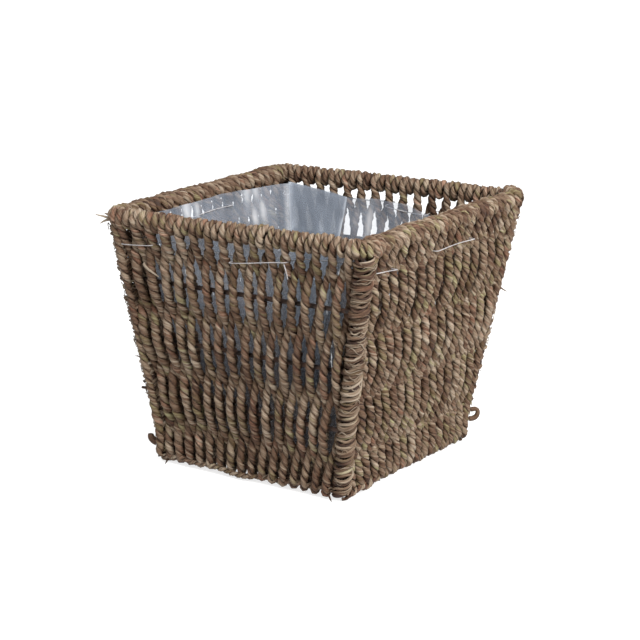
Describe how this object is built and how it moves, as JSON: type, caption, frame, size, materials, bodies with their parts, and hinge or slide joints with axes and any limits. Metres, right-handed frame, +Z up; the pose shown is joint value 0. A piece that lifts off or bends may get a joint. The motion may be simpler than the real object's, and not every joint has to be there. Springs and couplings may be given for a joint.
{
  "type": "seagrass storage basket",
  "caption": "Square tapered basket of twisted seagrass cord woven on an iron wire frame, with a clear film liner.",
  "frame": {"origin": "middle of the footprint, on the surface the basket stands on", "axes": "+Z up out of the open top, -Y towards the front side, +X to the right of the front side"},
  "size_m": [0.21, 0.21, 0.18],
  "materials": {
    "seagrass": "dry twisted plant fibre",
    "iron_wire": "bare iron, dark with light rust",
    "film": "clear crumpled film",
    "thread": "translucent monofilament"
  },
  "bodies": {
    "root": {"top_ring": "iron_wire", "high_ring": "iron_wire", "middle_ring": "iron_wire", "low_ring": "iron_wire", "bottom_ring": "iron_wire", "post_front_left": "iron_wire", "post_front_right": "iron_wire", "post_back_left": "iron_wire", "post_back_right": "iron_wire", "base_wire_1": "iron_wire", "base_wire_2": "iron_wire", "base_wire_3": "iron_wire", "base_wire_4": "iron_wire", "cord_front": "seagrass", "cord_right": "seagrass", "cord_back": "seagrass", "cord_left": "seagrass", "cord_base": "seagrass", "wrap_front_left": "seagrass", "wrap_front_right": "seagrass", "wrap_back_left": "seagrass", "wrap_back_right": "seagrass", "liner": "film", "liner_thread": "thread"}
  },
  "joints": []
}
